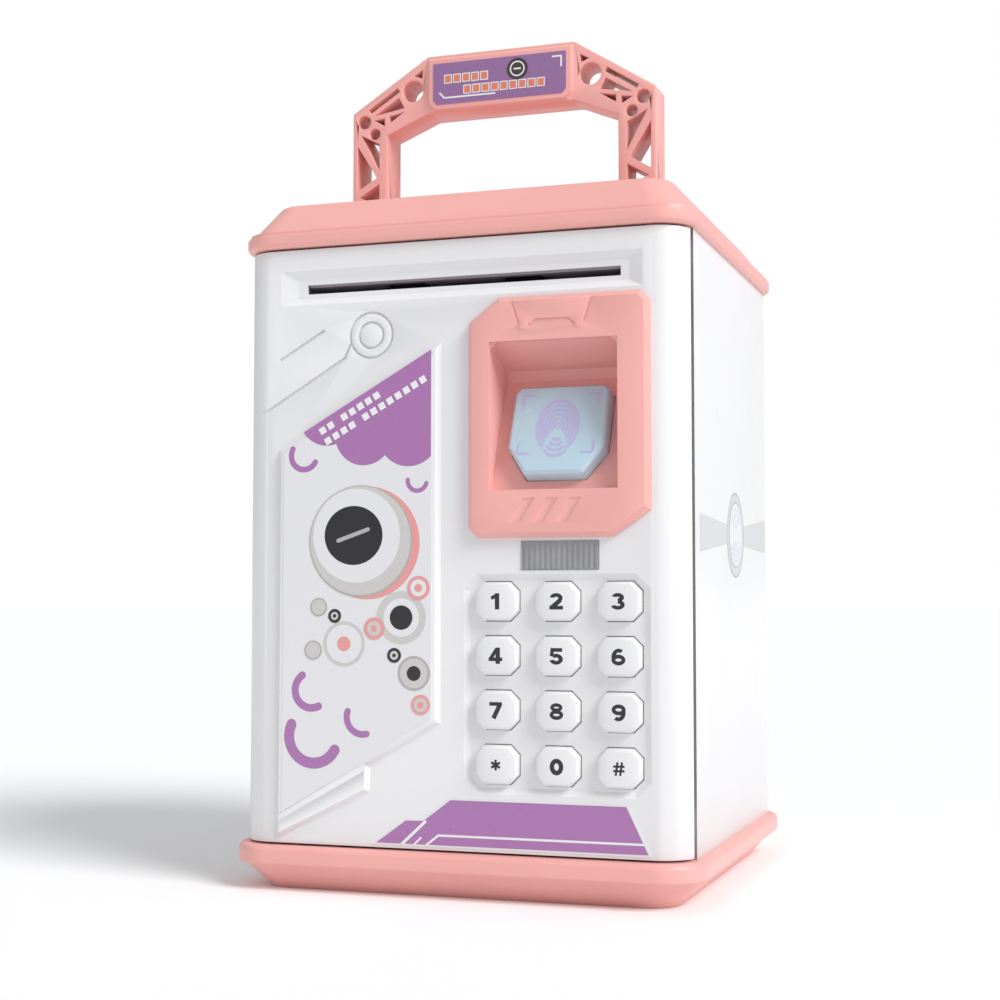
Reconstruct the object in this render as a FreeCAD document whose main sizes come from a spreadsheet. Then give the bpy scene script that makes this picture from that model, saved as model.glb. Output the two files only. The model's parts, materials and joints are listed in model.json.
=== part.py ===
import FreeCAD, Part
import math
import os
import re
from types import SimpleNamespace

from FreeCAD import Placement, Rotation, Vector

# Toy cash-machine money box. Millimetres, +Z up, front towards -Y.
# The origin is the centre of the footprint, on the surface the box stands on.

# ---------------------------------------------------------------- driving dimensions
# The sheet's cells hold these numbers, and every sub-part is sized from them.
SIZES = {
    "body_width": 128.0,
    "body_depth": 123.0,
    "body_height": 166.0,
    "corner_round": 9.7,
    "skin": 2.2,
    "base_height": 12.5,
    "base_rim": 5.3,
    "base_overhang": 3.0,
    "base_inset": 5.2,
    "base_floor": 2.2,
    "lid_height": 13.9,
    "lid_rim": 4.0,
    "lid_overhang": 1.9,
    "lid_step": 1.1,
    "lid_step_height": 0.8,
    "lid_inset": 6.5,
    "door_gap": 0.6,
    "door_wrap": 7.2,
    "box_depth": 20.8,
    "box_wall": 2.0,
    "cover_skin": 2.2,
    "hinge_inset": 6.6,
    "hinge_radius": 1.8,
    "running_gap": 0.05,
    "knuckle_radius": 4.6,
    "knuckle_height": 12.0,
    "panel_proud": 1.6,
    "panel_bevel": 1.2,
    "panel_groove": 0.3,
    "groove_depth": 0.8,
    "bezel_proud": 2.8,
    "recess_depth": 13.0,
    "recess_wall": 1.8,
    "print_thickness": 4.6,
    "print_travel": 1.5,
    "key_width": 11.7,
    "key_height": 10.2,
    "key_chamfer": 2.4,
    "key_proud": 1.5,
    "key_gap": 0.3,
    "key_travel": 1.2,
    "key_flange": 0.9,
    "field_depth": 1.0,
    "membrane_thickness": 2.2,
    "board_thickness": 1.6,
    "sticker_thickness": 0.15,
    "shaft_radius": 1.5,
    "drive_radius": 4.5,
    "pinch_radius": 3.2,
    "gear_module": 0.6,
    "gear_width": 2.0,
    "guide_skin": 1.0,
    "motor_radius": 7.0,
    "bolt_height": 6.0,
    "bolt_depth": 4.0,
    "keeper_depth": 2.1,
    "handle_thickness": 11.0,
    "handle_half_width": 47.0,
    "handle_top": 242.2,
    "handle_pin": 2.0,
    "plate_proud": 1.2,
    "cell_radius": 7.2,
    "cell_length": 50.0,
    "screw_radius": 1.3,
    "screw_head": 2.6,
    "cell_button": 1.8,
    "small_shaft": 0.7,
    "lamp_radius": 1.5,
    "speaker_radius": 16.0,
    "magnet_radius": 9.0,
    "bezel_edge": 1.2,
    "badge_depth": 0.25,
}

# Fixed layout, measured from the line where the body meets the base (z) and the centre (x).
SLOT = (-44.4, 46.2, 152.9, 155.5)
SLOT_SURROUND = (-52.0, 52.5, 149.7, 159.4)
SLOT_BEVEL = (-47.0, 48.5, 151.6, 157.2)
SLOT_BEVEL_DEPTH = 1.4
PANEL = [(-3.8, 137.2), (-45.2, 113.6), (-52.0, 109.2), (-52.0, 1.6),
         (-24.2, 15.4), (-24.2, 22.1), (-3.8, 34.2)]
PANEL_SEAM = ((-51.2, 8.3), (-4.6, 35.0))
BEZEL = [(4.5, 141.7), (13.2, 148.3), (52.1, 148.3), (54.6, 145.8),
         (54.6, 90.9), (44.7, 83.9), (7.2, 83.9), (4.5, 86.6)]
RECESS_CENTRE = 28.5
RECESS_SIDES = (10.8, 46.2)
RECESS_CORNER = 2.3
RECESS_BOTTOM = 96.5
RECESS_SHELF_TOP = 127.2
RECESS_CEILING_BACK = 130.2
RECESS_CEILING_FRONT = 136.3
PRINT_OUTLINE = [(-8.2, 2.8), (8.2, 2.8), (13.4, 10.7), (13.4, 27.4), (11.6, 29.2),
                 (-11.6, 29.2), (-13.4, 27.4), (-13.4, 10.7)]
WINDOW = (18.9, 40.4, 75.3, 83.0)
FIELD = [(6.8, 16.0), (50.2, 16.0), (54.2, 20.0), (54.2, 70.3), (50.2, 74.3),
         (6.8, 74.3), (2.8, 70.3), (2.8, 20.0)]
FIELD_BEVEL = 1.6
KEY_COLUMNS = (12.3, 29.1, 45.9)
KEY_ROWS = (67.0, 52.6, 38.2, 23.8)
KEY_NAMES = (("1", "2", "3"), ("4", "5", "6"), ("7", "8", "9"), ("star", "0", "hash"))
BOARD = (0.8, 52.5, 11.5, 85.0)
BOARD_POSTS = [(3.6, 80.5), (50.4, 80.5), (3.6, 13.9), (50.4, 13.9)]
COVER_SCREWS = [(-50.8, 6.8), (51.5, 6.8), (-50.8, 159.3), (51.5, 159.3)]
NOTE_LEVEL = 154.2
ROLLER_DEPTH = 11.5
FLAG_X = -2.0
ROLLER_STATIONS = (-17.2, 16.8)
ROLLER_LENGTH = 10.0
COVER_SCREW = (0.0, -5.0)
BASE_COLUMNS = [(-52.0, -14.0), (52.0, -14.0), (-52.0, 49.0), (52.0, 49.0)]
SPEAKER = (-30.0, 38.0)
LID_SCREWS = [(-50.5, -8.0), (50.5, -8.0), (-50.5, 47.0), (50.5, 47.0)]
HANDLE_FRONT = -23.0
PIVOT_BELOW_TOP = 3.3
BED_CLEARANCE = 0.8
ROLLER_TEETH = 20
PINION_TEETH = 10
TOOTH_TIP = 0.7
TOOTH_ROOT = 0.75
BOLT_LEVEL = 80.0
BOLT_TIP = -57.5
LOCK_X = -40.0
GUIDE_SPAN = (-47.5, 46.6)
# The handle's right half, seen from the front: x from the centre, z from the ground.
HANDLE_OUTER = [(47.0, 0.0), (47.0, 226.9), (22.8, 242.2)]
HANDLE_INNER = [(35.9, 0.0), (35.9, 219.6), (22.8, 225.0)]
HANDLE_ROUND_HOLES = [((27.6, 232.3), 3.25), ((43.3, 224.2), 2.05), ((39.9, 220.3), 1.7)]
HANDLE_OPENINGS = [
    [(24.5, 238.5), (27.2, 236.9), (24.7, 236.0)],
    [(32.6, 233.8), (42.0, 227.8), (41.2, 226.7), (31.9, 232.6)],
    [(32.2, 230.7), (39.8, 226.0), (30.4, 227.5)],
    [(30.6, 226.2), (35.2, 225.4), (35.2, 223.3)],
    [(36.8, 224.9), (40.1, 224.5), (36.8, 222.6)],
    [(38.5, 217.2), (44.5, 220.3), (38.5, 209.2)],
    [(45.5, 216.9), (45.5, 203.3), (39.3, 207.0)],
    [(38.5, 204.9), (44.8, 201.2), (38.5, 198.5)],
]

os.makedirs("parts", exist_ok=True)
doc = FreeCAD.newDocument("money_box")
sizes = doc.addObject("Spreadsheet::Sheet", "sizes")
for row, (alias, number) in enumerate(SIZES.items(), start=1):
    sizes.set(f"A{row}", alias)
    sizes.set(f"B{row}", str(number))
    sizes.setAlias(f"B{row}", alias)
doc.recompute()
dim = SimpleNamespace(**{alias: float(sizes.get(alias)) for alias in SIZES})

# Places worked out from the driving dimensions.
half_width = dim.body_width / 2
half_depth = dim.body_depth / 2
front = -half_depth
front_inside = front + dim.skin
base_line = dim.base_height
lid_line = dim.base_height + dim.body_height
lid_top = lid_line + dim.lid_height
box_back = front_inside + dim.box_depth
hinge_x = half_width - dim.hinge_inset
hinge_y = front + dim.hinge_inset
seam_y = front + dim.door_wrap
door_low = base_line + dim.door_gap
door_high = lid_line - dim.door_gap
box_left = -56.0
box_right = 57.0
box_low = base_line + 2.5
box_high = lid_line - 2.5
roller_y = front + ROLLER_DEPTH
note_z = base_line + NOTE_LEVEL
drive_z = note_z - dim.drive_radius - 0.1
pinch_z = note_z + dim.pinch_radius + 0.1
pivot_y = HANDLE_FRONT + dim.handle_thickness / 2
pivot_z = lid_top - PIVOT_BELOW_TOP
motor_z = drive_z - (ROLLER_TEETH + PINION_TEETH) / 2 * dim.gear_module
flag_y = roller_y + 5.5
flag_z = note_z + 4.6
shell_edge = seam_y + 0.25
bolt_low = base_line + BOLT_LEVEL
bolt_y = shell_edge + dim.keeper_depth + 0.3
lock_y = bolt_y + dim.bolt_depth + (PINION_TEETH / 2 - TOOTH_TIP) * dim.gear_module
shelf_rise = RECESS_SHELF_TOP - RECESS_BOTTOM
shelf_angle = math.degrees(math.atan2(shelf_rise, dim.recess_depth))

sub_parts = []


# ---------------------------------------------------------------- helpers
def cells(formula):
    """A formula in plain alias words, as an expression on the sheet."""
    return re.sub(r"[a-z_]+", lambda word: f"sizes.{word.group()}", formula)


def bind(feature, **formulas):
    """Bind properties of a feature to formulas on the sheet."""
    for name, formula in formulas.items():
        feature.setExpression(name, cells(formula))


def sub_part(shape_object, label):
    """Name an object as one sub-part of the money box."""
    shape_object.Label = label
    sub_parts.append(shape_object)
    return shape_object


def new_body(label):
    return sub_part(doc.addObject("PartDesign::Body", label), label)


def new_sketch(body, role, lift=0.0):
    """An empty sketch on one of the body's own origin planes, moved along its normal."""
    plane = [feature for feature in body.Origin.OriginFeatures if feature.Role == role][0]
    sketch = body.newObject("Sketcher::SketchObject", "Outline")
    sketch.AttachmentSupport = [(plane, "")]
    sketch.MapMode = "FlatFace"
    sketch.AttachmentOffset = Placement(Vector(0, 0, lift), Rotation())
    return sketch


def draw_polygon(sketch, points):
    corners = [Vector(x, y, 0) for x, y in points]
    for start, end in zip(corners, corners[1:] + corners[:1]):
        sketch.addGeometry(Part.LineSegment(start, end), False)


def draw_rectangle(sketch, low_x, high_x, low_y, high_y):
    draw_polygon(sketch, [(low_x, low_y), (high_x, low_y), (high_x, high_y), (low_x, high_y)])


def draw_circle(sketch, centre, radius):
    middle = Vector(centre[0], centre[1], 0)
    sketch.addGeometry(Part.Circle(middle, Vector(0, 0, 1), radius), False)


def draw_rounded(sketch, half_x, half_y, radius):
    """A centred rectangle with round corners."""
    flat_x = half_x - radius
    flat_y = half_y - radius
    for quarter in range(4):
        angle = math.pi / 2 * quarter
        sign_x = 1 if quarter in (0, 3) else -1
        sign_y = 1 if quarter in (0, 1) else -1
        centre = Vector(sign_x * flat_x, sign_y * flat_y, 0)
        arc = Part.ArcOfCircle(Part.Circle(centre, Vector(0, 0, 1), radius), angle, angle + math.pi / 2)
        sketch.addGeometry(arc, False)
    for side in (-1, 1):
        sketch.addGeometry(Part.LineSegment(Vector(side * half_x, -flat_y, 0),
                                            Vector(side * half_x, flat_y, 0)), False)
        sketch.addGeometry(Part.LineSegment(Vector(-flat_x, side * half_y, 0),
                                            Vector(flat_x, side * half_y, 0)), False)


def inset(points, distance):
    """The same polygon with each side moved inwards by a distance."""
    count = len(points)
    area = sum(points[i - 1][0] * points[i][1] - points[i][0] * points[i - 1][1] for i in range(count))
    turn = 1 if area > 0 else -1
    moved = []
    for i in range(count):
        before, corner, after = (Vector(*points[k % count], 0) for k in (i - 1, i, i + 1))
        first = (corner - before).normalize()
        second = (after - corner).normalize()
        normal_one = Vector(-first.y, first.x, 0) * turn
        normal_two = Vector(-second.y, second.x, 0) * turn
        reach = (normal_one + normal_two) * (distance / (1 + normal_one.dot(normal_two)))
        moved.append((corner.x + reach.x, corner.y + reach.y))
    return moved


def band(start, end, width):
    """A straight strip between two points, a little longer than their distance."""
    length = math.dist(start, end)
    along_x = (end[0] - start[0]) / length * width / 2
    along_y = (end[1] - start[1]) / length * width / 2
    return [(start[0] - along_x - along_y, start[1] - along_y + along_x),
            (end[0] + along_x - along_y, end[1] + along_y + along_x),
            (end[0] + along_x + along_y, end[1] + along_y - along_x),
            (start[0] - along_x + along_y, start[1] - along_y - along_x)]


def raised(points, lift):
    """Outline points given above the base line, in body coordinates."""
    return [(x, z + lift) for x, z in points]


def pad(body, sketch, length, backwards=False):
    """Add a sketch's prism to the body, and make sure that something was added."""
    volume = 0.0 if body.Shape.isNull() else body.Shape.Volume
    feature = body.newObject("PartDesign::Pad", "Pad")
    feature.Profile = sketch
    bind(feature, Length=length)
    feature.Reversed = backwards
    doc.recompute()
    if body.Shape.Volume < volume + 1e-3:
        raise RuntimeError(f"{body.Label}: a pad added nothing ({feature.State})")
    return feature


def pocket(body, sketch, length, backwards=False):
    """Cut a sketch into the body, and make sure that something was cut."""
    volume = body.Shape.Volume
    feature = body.newObject("PartDesign::Pocket", "Pocket")
    feature.Profile = sketch
    bind(feature, Length=length)
    feature.Reversed = backwards
    doc.recompute()
    if body.Shape.Volume > volume - 1e-3:
        raise RuntimeError(f"{body.Label}: a pocket cut nothing ({feature.State})")
    return feature


def loft(body, kind, first, second):
    """A straight-sided loft between two sketches with matching corners."""
    feature = body.newObject(f"PartDesign::{kind}", kind)
    feature.Profile = first
    feature.Sections = [second]
    feature.Ruled = True
    doc.recompute()
    return feature


def add_prism(body, role, lift, points, length, backwards=False):
    sketch = new_sketch(body, role, lift)
    draw_polygon(sketch, points)
    return pad(body, sketch, length, backwards)


def cut_prism(body, role, lift, points, length, backwards=False):
    sketch = new_sketch(body, role, lift)
    draw_polygon(sketch, points)
    return pocket(body, sketch, length, backwards)


def add_discs(body, role, lift, centres, radius, length, backwards=False):
    sketch = new_sketch(body, role, lift)
    for centre in centres:
        draw_circle(sketch, centre, radius)
    return pad(body, sketch, length, backwards)


def cut_discs(body, role, lift, centres, radius, length, backwards=False):
    sketch = new_sketch(body, role, lift)
    for centre in centres:
        draw_circle(sketch, centre, radius)
    return pocket(body, sketch, length, backwards)


def rectangle(low_x, high_x, low_y, high_y):
    return [(low_x, low_y), (high_x, low_y), (high_x, high_y), (low_x, high_y)]


def bevelled_loft(body, kind, lift, wide, narrow, rise):
    """A loft from a wide outline to a narrow one, a rise further out along the front's normal."""
    outer = new_sketch(body, "XZ_Plane", lift)
    draw_polygon(outer, wide)
    inner = new_sketch(body, "XZ_Plane", lift + rise)
    draw_polygon(inner, narrow)
    return loft(body, kind, outer, inner)


def round_edges(body, radius, choose):
    """Fillet the edges of the body's tip that a test picks."""
    tip = body.Tip
    names = [f"Edge{i}" for i, edge in enumerate(tip.Shape.Edges, start=1) if choose(edge)]
    feature = body.newObject("PartDesign::Fillet", "Fillet")
    feature.Base = (tip, names)
    feature.Radius = radius
    doc.recompute()
    return feature


def outset(point):
    """How far a point stands outside the upright outline of the body."""
    past_x = max(abs(point.x) - half_width + dim.corner_round, 0)
    past_y = max(abs(point.y) - half_depth + dim.corner_round, 0)
    return math.hypot(past_x, past_y) - dim.corner_round


def rim_edges(height, least_outset):
    """A test for edges that lie at one height and stand out from the body's outline."""
    def choose(edge):
        box = edge.BoundBox
        middle = edge.valueAt((edge.FirstParameter + edge.LastParameter) / 2)
        level = abs(box.ZMin - height) < 1e-4 and abs(box.ZMax - height) < 1e-4
        return level and outset(middle) > least_outset
    return choose


def solid_box(label, low, high):
    """A Part box between two corners."""
    box = doc.addObject("Part::Box", label)
    box.Length, box.Width, box.Height = (high[i] - low[i] for i in range(3))
    box.Placement = Placement(Vector(*low), Rotation())
    return box


def solid_rod(label, radius, length, foot, direction):
    """A Part cylinder of a sheet radius from a foot point along a direction."""
    rod = doc.addObject("Part::Cylinder", label)
    bind(rod, Radius=radius)
    rod.Height = length
    rod.Placement = Placement(Vector(*foot), Rotation(Vector(0, 0, 1), Vector(*direction)))
    return rod


def group(label, pieces):
    """Separate solids that share one sub-part."""
    compound = doc.addObject("Part::Compound", label)
    compound.Links = pieces
    return sub_part(compound, label)


def joined(label, pieces):
    fusion = doc.addObject("Part::MultiFuse", label)
    fusion.Shapes = pieces
    return fusion


def less(label, base, tool):
    cut = doc.addObject("Part::Cut", label)
    cut.Base = base
    cut.Tool = tool
    return cut


def screw(label, head_at, direction, length):
    """A pan-head screw: the head's inner face is at head_at and the shank runs along direction."""
    head_height = 1.6
    start = Vector(*head_at) - Vector(*direction) * head_height
    shank = solid_rod(label + "_shank", "screw_radius", length, head_at, direction)
    head = solid_rod(label + "_head", "screw_head", head_height, tuple(start), direction)
    return joined(label, [head, shank])


# ---------------------------------------------------------------- housing
def make_base_tray():
    """The pink foot: a rolled rim over a tapering bowl, open at the top."""
    body = new_body("base_tray")
    rim_low = base_line - dim.base_rim
    foot = new_sketch(body, "XY_Plane")
    draw_rounded(foot, half_width - dim.base_inset, half_depth - dim.base_inset, dim.corner_round - 2)
    under_rim = new_sketch(body, "XY_Plane", rim_low)
    draw_rounded(under_rim, half_width + 1.2, half_depth + 1.2, dim.corner_round + 1)
    loft(body, "AdditiveLoft", foot, under_rim)
    rim = new_sketch(body, "XY_Plane", rim_low)
    draw_rounded(rim, half_width + dim.base_overhang, half_depth + dim.base_overhang,
                 dim.corner_round + dim.base_overhang)
    pad(body, rim, "base_rim")
    bowl = new_sketch(body, "XY_Plane", base_line)
    draw_rounded(bowl, half_width - 7, half_depth - 7, dim.corner_round - 2)
    pocket(body, bowl, "base_height - base_floor")
    add_discs(body, "XY_Plane", rim_low + 0.1, [(hinge_x, hinge_y)], dim.knuckle_radius, "base_rim - 0.2")
    cut_discs(body, "XY_Plane", base_line, [(hinge_x, hinge_y)], dim.hinge_radius, "base_rim")
    add_discs(body, "XY_Plane", 1.0, BASE_COLUMNS, 4.4, "5")
    cut_discs(body, "XY_Plane", 0, BASE_COLUMNS, dim.screw_radius + 0.3, "base_height", True)
    cut_discs(body, "XY_Plane", 0, BASE_COLUMNS, dim.screw_head + 0.4, "3", True)
    cut_prism(body, "XY_Plane", 0, rectangle(-33, 33, -1, 51), "1.6", True)
    cut_prism(body, "XY_Plane", 0, rectangle(-31, 31, 1, 49), "base_height", True)
    cut_prism(body, "XY_Plane", 0, rectangle(-5.2, 5.2, -9.2, -0.9), "1.6", True)
    add_discs(body, "XY_Plane", 1.7, [COVER_SCREW], 3.4, "7")
    cut_discs(body, "XY_Plane", 0, [COVER_SCREW], dim.screw_radius, "8", True)
    round_edges(body, 1.8, rim_edges(base_line, dim.base_overhang - 0.1))
    round_edges(body, 0.9, rim_edges(rim_low, dim.base_overhang - 0.1))


def make_top_lid():
    """The pink roof: the same rim, sides that lean in, and a sunk bed for the folded handle."""
    body = new_body("top_lid")
    rim_high = lid_line + dim.lid_rim
    rim = new_sketch(body, "XY_Plane", lid_line)
    draw_rounded(rim, half_width + dim.lid_overhang, half_depth + dim.lid_overhang,
                 dim.corner_round + dim.lid_overhang)
    pad(body, rim, "lid_rim")
    step = new_sketch(body, "XY_Plane", rim_high)
    draw_rounded(step, half_width + dim.lid_step, half_depth + dim.lid_step, dim.corner_round + dim.lid_step)
    pad(body, step, "lid_step_height")
    over_rim = new_sketch(body, "XY_Plane", rim_high)
    draw_rounded(over_rim, half_width + 0.7, half_depth + 0.7, dim.corner_round + 1)
    roof = new_sketch(body, "XY_Plane", lid_top)
    draw_rounded(roof, half_width - dim.lid_inset, half_depth - dim.lid_inset, dim.corner_round - 2)
    loft(body, "AdditiveLoft", over_rim, roof)
    hollow = new_sketch(body, "XY_Plane", lid_line)
    draw_rounded(hollow, half_width - dim.lid_inset - 2.6, half_depth - dim.lid_inset - 2.6, 6)
    pocket(body, hollow, "lid_height - 2.2", True)
    tub_floor = lid_top - 10.9
    outer, inner = handle_bed(2.2)
    tub = new_sketch(body, "XY_Plane", tub_floor)
    draw_polygon(tub, outer + inner)
    pad(body, tub, "9.9")
    outer, inner = handle_bed(BED_CLEARANCE)
    bed = new_sketch(body, "XY_Plane", lid_top)
    draw_polygon(bed, outer + inner)
    pocket(body, bed, "9.1")
    pin_ends = (dim.handle_half_width + 2.6, 32.4)
    for side in (-1, 1):
        hole = new_sketch(body, "YZ_Plane", side * pin_ends[0])
        draw_circle(hole, (pivot_y, pivot_z), dim.handle_pin)
        pocket(body, hole, "17.2", side < 0)
    cut_discs(body, "XY_Plane", lid_line, [(hinge_x, hinge_y)], dim.hinge_radius, "lid_rim - 0.3", True)
    add_discs(body, "XY_Plane", lid_line, LID_SCREWS, 3.4, "lid_height - 1")
    cut_discs(body, "XY_Plane", lid_line, LID_SCREWS, dim.screw_radius, "7", True)
    round_edges(body, 1.6, rim_edges(lid_line, dim.lid_overhang - 0.1))
    round_edges(body, 0.6, rim_edges(rim_high, dim.lid_overhang - 0.1))
    round_edges(body, 2.5, rim_edges(lid_top, -dim.lid_inset - 0.6))


def handle_bed(clearance):
    """Outline of the folded handle seen from above, with a clearance: outer side, then inner side."""
    arm, shoulder, crown = HANDLE_OUTER
    inner_leg, inner_shoulder, plate_foot = HANDLE_INNER
    start = HANDLE_FRONT - clearance
    outer_right = [(arm[0] + clearance, start),
                   (arm[0] + clearance, pivot_y + shoulder[1] - pivot_z + clearance / 2),
                   (crown[0] + clearance / 2, pivot_y + crown[1] - pivot_z + clearance)]
    inner_right = [(plate_foot[0] - 2.0, pivot_y + plate_foot[1] - pivot_z - clearance - 1.0),
                   (inner_shoulder[0] - clearance, pivot_y + inner_shoulder[1] - pivot_z - clearance),
                   (inner_leg[0] - clearance, start)]
    outer = [(-x, y) for x, y in outer_right] + outer_right[::-1]
    inner = inner_right[::-1] + [(-x, y) for x, y in inner_right]
    return outer, inner


def make_body_shell():
    """The white back and side walls, with the screw columns, lid ears and lock keeper."""
    body = new_body("body_shell")
    wall = new_sketch(body, "XY_Plane", base_line)
    draw_rounded(wall, half_width, half_depth, dim.corner_round)
    draw_rounded(wall, half_width - dim.skin, half_depth - dim.skin, dim.corner_round - dim.skin)
    pad(body, wall, "body_height")
    cut_prism(body, "XY_Plane", lid_line, rectangle(-half_width - 1, half_width + 1, front - 1, shell_edge),
              "body_height")
    cut_discs(body, "XY_Plane", lid_line, [(hinge_x, hinge_y)], dim.hinge_inset + 0.5, "body_height")
    add_discs(body, "XY_Plane", 6.0, BASE_COLUMNS, 4.0, "34")
    for side in (-1, 1):
        for _, y in BASE_COLUMNS[::2]:
            reach = sorted((side * 52.0, side * (half_width - dim.skin + 0.5)))
            add_prism(body, "XY_Plane", base_line, rectangle(reach[0], reach[1], y - 1.2, y + 1.2), "27")
    cut_discs(body, "XY_Plane", 6.0, BASE_COLUMNS, dim.screw_radius, "14", True)
    for x, y in LID_SCREWS:
        reach = sorted((math.copysign(45.5, x), math.copysign(half_width - dim.skin + 0.5, x)))
        add_prism(body, "XY_Plane", lid_line - 4, rectangle(reach[0], reach[1], y - 5, y + 5), "4")
    cut_discs(body, "XY_Plane", lid_line - 4, LID_SCREWS, dim.screw_radius + 0.3, "4", True)
    keeper = rectangle(-half_width + dim.skin - 0.3, -half_width + 4.3, shell_edge,
                       shell_edge + dim.keeper_depth)
    add_prism(body, "XY_Plane", bolt_low - 4, keeper, "bolt_height + 8")


def make_pins():
    hinge_rods = [solid_rod("hinge_pin_low", "hinge_radius", 12.8, (hinge_x, hinge_y, base_line - 5.2),
                            (0, 0, 1)),
                  solid_rod("hinge_pin_high", "hinge_radius", 11.2, (hinge_x, hinge_y, lid_line - 7.6),
                            (0, 0, 1))]
    group("hinge_pins", hinge_rods)
    handle_rods = [solid_rod(f"handle_pin_{name}", "handle_pin", 16.5, (x, pivot_y, pivot_z), (1, 0, 0))
                   for name, x in (("left", -49.3), ("right", 32.8))]
    group("handle_pins", handle_rods)


def make_housing_screws():
    group("base_screws", [screw(f"base_screw_{i}", (x, y, 3.0), (0, 0, 1), 12.0)
                          for i, (x, y) in enumerate(BASE_COLUMNS)])
    group("lid_screws", [screw(f"lid_screw_{i}", (x, y, lid_line - 4), (0, 0, 1), 10.0)
                         for i, (x, y) in enumerate(LID_SCREWS)])


def make_battery_bay():
    """A tray for three cells under the money space, its cover, cells, springs and screw."""
    body = new_body("battery_box")
    add_prism(body, "XY_Plane", dim.base_floor, rectangle(-33, 33, -1, 51), "17.4")
    cut_prism(body, "XY_Plane", dim.base_floor, rectangle(-31, 31, 1, 49), "15.4", True)
    cover = new_body("battery_cover")
    add_prism(cover, "XY_Plane", 0, rectangle(-32.8, 32.8, -0.8, 50.8), "1.5")
    add_prism(cover, "XY_Plane", 0, rectangle(-5, 5, -9, 0), "1.5")
    cut_discs(cover, "XY_Plane", 0, [COVER_SCREW], dim.screw_head + 0.2, "0.9", True)
    cut_discs(cover, "XY_Plane", 0, [COVER_SCREW], dim.screw_radius + 0.1, "2", True)
    cover_head = solid_rod("battery_screw_head", "screw_head", 0.7, (*COVER_SCREW, 0.2), (0, 0, 1))
    cover_shank = solid_rod("battery_screw_shank", "screw_radius", 7.0, (*COVER_SCREW, 0.8), (0, 0, 1))
    sub_part(joined("battery_screw", [cover_head, cover_shank]), "battery_screw")
    centres = [25.0 + 15.4 * step for step in (-1, 0, 1)]
    centre_z = 1.6 + dim.cell_radius + 0.2
    cells_made = []
    springs = []
    for i, y in enumerate(centres):
        way = 1 if i % 2 == 0 else -1
        can = solid_rod(f"cell_can_{i}", "cell_radius", dim.cell_length - 1.4,
                        (-way * dim.cell_length / 2, y, centre_z), (way, 0, 0))
        button = solid_rod(f"cell_button_{i}", "cell_button", 1.4,
                           (way * (dim.cell_length / 2 - 1.4), y, centre_z), (way, 0, 0))
        cells_made.append(joined(f"cell_{i}", [can, button]))
        ring = doc.addObject("Part::Cone", f"spring_{i}")
        ring.Radius1 = 3.4
        ring.Radius2 = 1.8
        ring.Height = 5.0
        ring.Placement = Placement(Vector(-way * 30.4, y, centre_z),
                                   Rotation(Vector(0, 0, 1), Vector(way, 0, 0)))
        springs.append(ring)
        springs.append(solid_box(f"tab_{i}", (min(way * 30.4, way * 25.2), y - 3, centre_z - 3),
                                 (max(way * 30.4, way * 25.2), y + 3, centre_z + 3)))
    group("battery_cells", cells_made)
    group("battery_contacts", springs)


def make_stickers():
    """Thin printed labels: two on the side walls, one on the raised panel, one at the foot."""
    disc_radius = 12.4
    middle_y, middle_z = 2.3, base_line + 86.3
    for name, side in (("right", 1), ("left", -1)):
        label = new_body(f"side_sticker_{name}")
        lift = half_width if side > 0 else -half_width - dim.sticker_thickness
        wings = [(-46.8, 80.3), (-9.4, 83.6), (-9.4, 88.9), (-46.8, 90.4)]
        add_prism(label, "YZ_Plane", lift, raised(wings, base_line), "sticker_thickness")
        wings = [(13.8, 83.7), (51.0, 82.5), (51.0, 92.7), (13.8, 89.2)]
        add_prism(label, "YZ_Plane", lift, raised(wings, base_line), "sticker_thickness")
        add_discs(label, "YZ_Plane", lift, [(middle_y, middle_z)], disc_radius, "sticker_thickness")
    picture = new_body("door_sticker")
    face = -front + dim.panel_proud
    outline = inset(PANEL, dim.panel_bevel + 0.9)[:4]
    outline[3] = (outline[3][0], PANEL_SEAM[0][1] + 0.9)
    outline.append((outline[0][0], PANEL_SEAM[1][1] + 0.4))
    add_prism(picture, "XZ_Plane", face, raised(outline, base_line), "sticker_thickness")
    foot = new_body("lower_sticker")
    shape = [(-23.8, 1.4), (-13.9, 8.6), (-8.8, 8.7), (-1.1, 14.5), (47.8, 14.5), (54.2, 1.4)]
    add_prism(foot, "XZ_Plane", -front, raised(shape, base_line), "sticker_thickness")


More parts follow.
